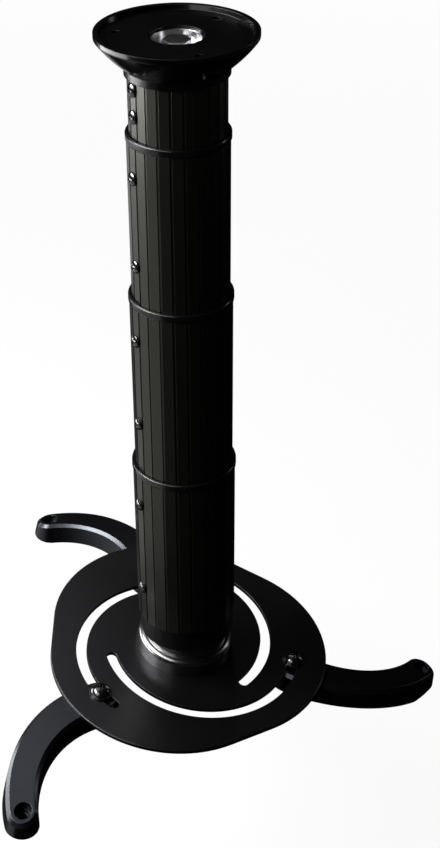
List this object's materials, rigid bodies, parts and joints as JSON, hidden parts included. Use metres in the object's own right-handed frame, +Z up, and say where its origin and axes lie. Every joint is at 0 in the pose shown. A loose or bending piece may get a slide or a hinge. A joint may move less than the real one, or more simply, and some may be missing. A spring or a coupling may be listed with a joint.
{
  "type": "projector ceiling mount",
  "caption": "Black telescoping ceiling mount for a projector: funnel flange, fluted column, ball-jointed plate with spiral slots and adjustable curved arms.",
  "frame": {"origin": "centre of the face that lies against the ceiling, on the column's axis", "axes": "+Z up into the ceiling along the column's axis, -Y towards the viewer of the picture, +X to their right"},
  "size_m": [0.2752, 0.276, 0.4564],
  "materials": {
    "flange_black": "gloss black paint",
    "anodised": "satin black anodised extrusion",
    "collar": "gloss black",
    "black_screw": "black oxide",
    "stem": "as turned",
    "steel": "zinc plated",
    "plug": "matte black anodised",
    "liner": "moulded acetal",
    "bell": "gloss black paint",
    "plate": "satin black powder coat",
    "arm": "satin black powder coat on a casting"
  },
  "bodies": {
    "ceiling_side": {"ceiling_flange": "flange_black", "flange_stem": "stem", "hub_cup": "steel", "hub_bolt": "steel", "hub_washer": "steel", "hub_nut": "steel", "tube_1": "anodised", "tube_1_screws": "black_screw"},
    "section_2": {"tube_2": "anodised", "collar_2": "collar", "tube_2_screws": "black_screw"},
    "section_3": {"tube_3": "anodised", "collar_3": "collar", "tube_3_screws": "black_screw"},
    "section_4": {"tube_4": "anodised", "collar_4": "collar", "tube_4_screws": "black_screw", "end_plug": "plug", "ball_stud": "steel", "stud_washer": "steel", "stud_nut": "steel"},
    "seat": {"ball_seat": "liner"},
    "socket": {"socket_bell": "bell", "socket_cap": "bell", "cap_screws": "black_screw", "tension_screw": "steel"},
    "plate": {"mounting_plate": "plate"},
    "carriage_1": {"arm_1_screw": "black_screw", "arm_1_washer": "black_screw", "arm_1_nut": "steel"},
    "arm_1": {"arm_1": "arm"},
    "carriage_2": {"arm_2_screw": "black_screw", "arm_2_washer": "black_screw", "arm_2_nut": "steel"},
    "arm_2": {"arm_2": "arm"},
    "carriage_3": {"arm_3_screw": "black_screw", "arm_3_washer": "black_screw", "arm_3_nut": "steel"},
    "arm_3": {"arm_3": "arm"}
  },
  "joints": [
    {"name": "extend_2", "type": "slide", "parent": "ceiling_side", "child": "section_2", "axis": [0, 0, 1], "range_m": [-0.035, 0.0075]},
    {"name": "extend_3", "type": "slide", "parent": "section_2", "child": "section_3", "axis": [0, 0, 1], "range_m": [-0.035, 0.018]},
    {"name": "extend_4", "type": "slide", "parent": "section_3", "child": "section_4", "axis": [0, 0, 1], "range_m": [-0.03, 0.015]},
    {"name": "tilt_x", "type": "hinge", "parent": "section_4", "child": "seat", "pos_m": [0, 0, -0.3896], "axis": [1, 0, 0], "range_deg": [-13.7, 6.3]},
    {"name": "tilt_y", "type": "hinge", "parent": "seat", "child": "socket", "pos_m": [0, 0, -0.3896], "axis": [0, 0.9979, 0.0645], "range_deg": [-17.3, 2.7]},
    {"name": "plate_swivel", "type": "hinge", "parent": "socket", "child": "plate", "pos_m": [-0.00229, 0.00115, -0.40742], "axis": [0.1271, -0.064, 0.9898], "continuous": true},
    {"name": "arm_1_travel", "type": "hinge", "parent": "plate", "child": "carriage_1", "pos_m": [0.00938, 0.00219, -0.40885], "axis": [0.1271, -0.064, 0.9898], "range_deg": [-80, 0.4]},
    {"name": "arm_1_swing", "type": "hinge", "parent": "carriage_1", "child": "arm_1", "pos_m": [0.06856, -0.00707, -0.41957], "axis": [0.1271, -0.064, 0.9898], "range_deg": [-60, 60]},
    {"name": "arm_2_travel", "type": "hinge", "parent": "plate", "child": "carriage_2", "pos_m": [-0.00893, 0.01079, -0.40594], "axis": [0.1271, -0.064, 0.9898], "range_deg": [-80, 6.5]},
    {"name": "arm_2_swing", "type": "hinge", "parent": "carriage_2", "child": "arm_2", "pos_m": [-0.02394, 0.06967, -0.40273], "axis": [0.1271, -0.064, 0.9898], "range_deg": [-60, 60]},
    {"name": "arm_3_travel", "type": "hinge", "parent": "plate", "child": "carriage_3", "pos_m": [-0.00731, -0.00953, -0.40746], "axis": [0.1271, -0.064, 0.9898], "range_deg": [-80, 11]},
    {"name": "arm_3_swing", "type": "hinge", "parent": "carriage_3", "child": "arm_3", "pos_m": [-0.05409, -0.04843, -0.4065], "axis": [0.1271, -0.064, 0.9898], "range_deg": [-60, 60]}
  ]
}
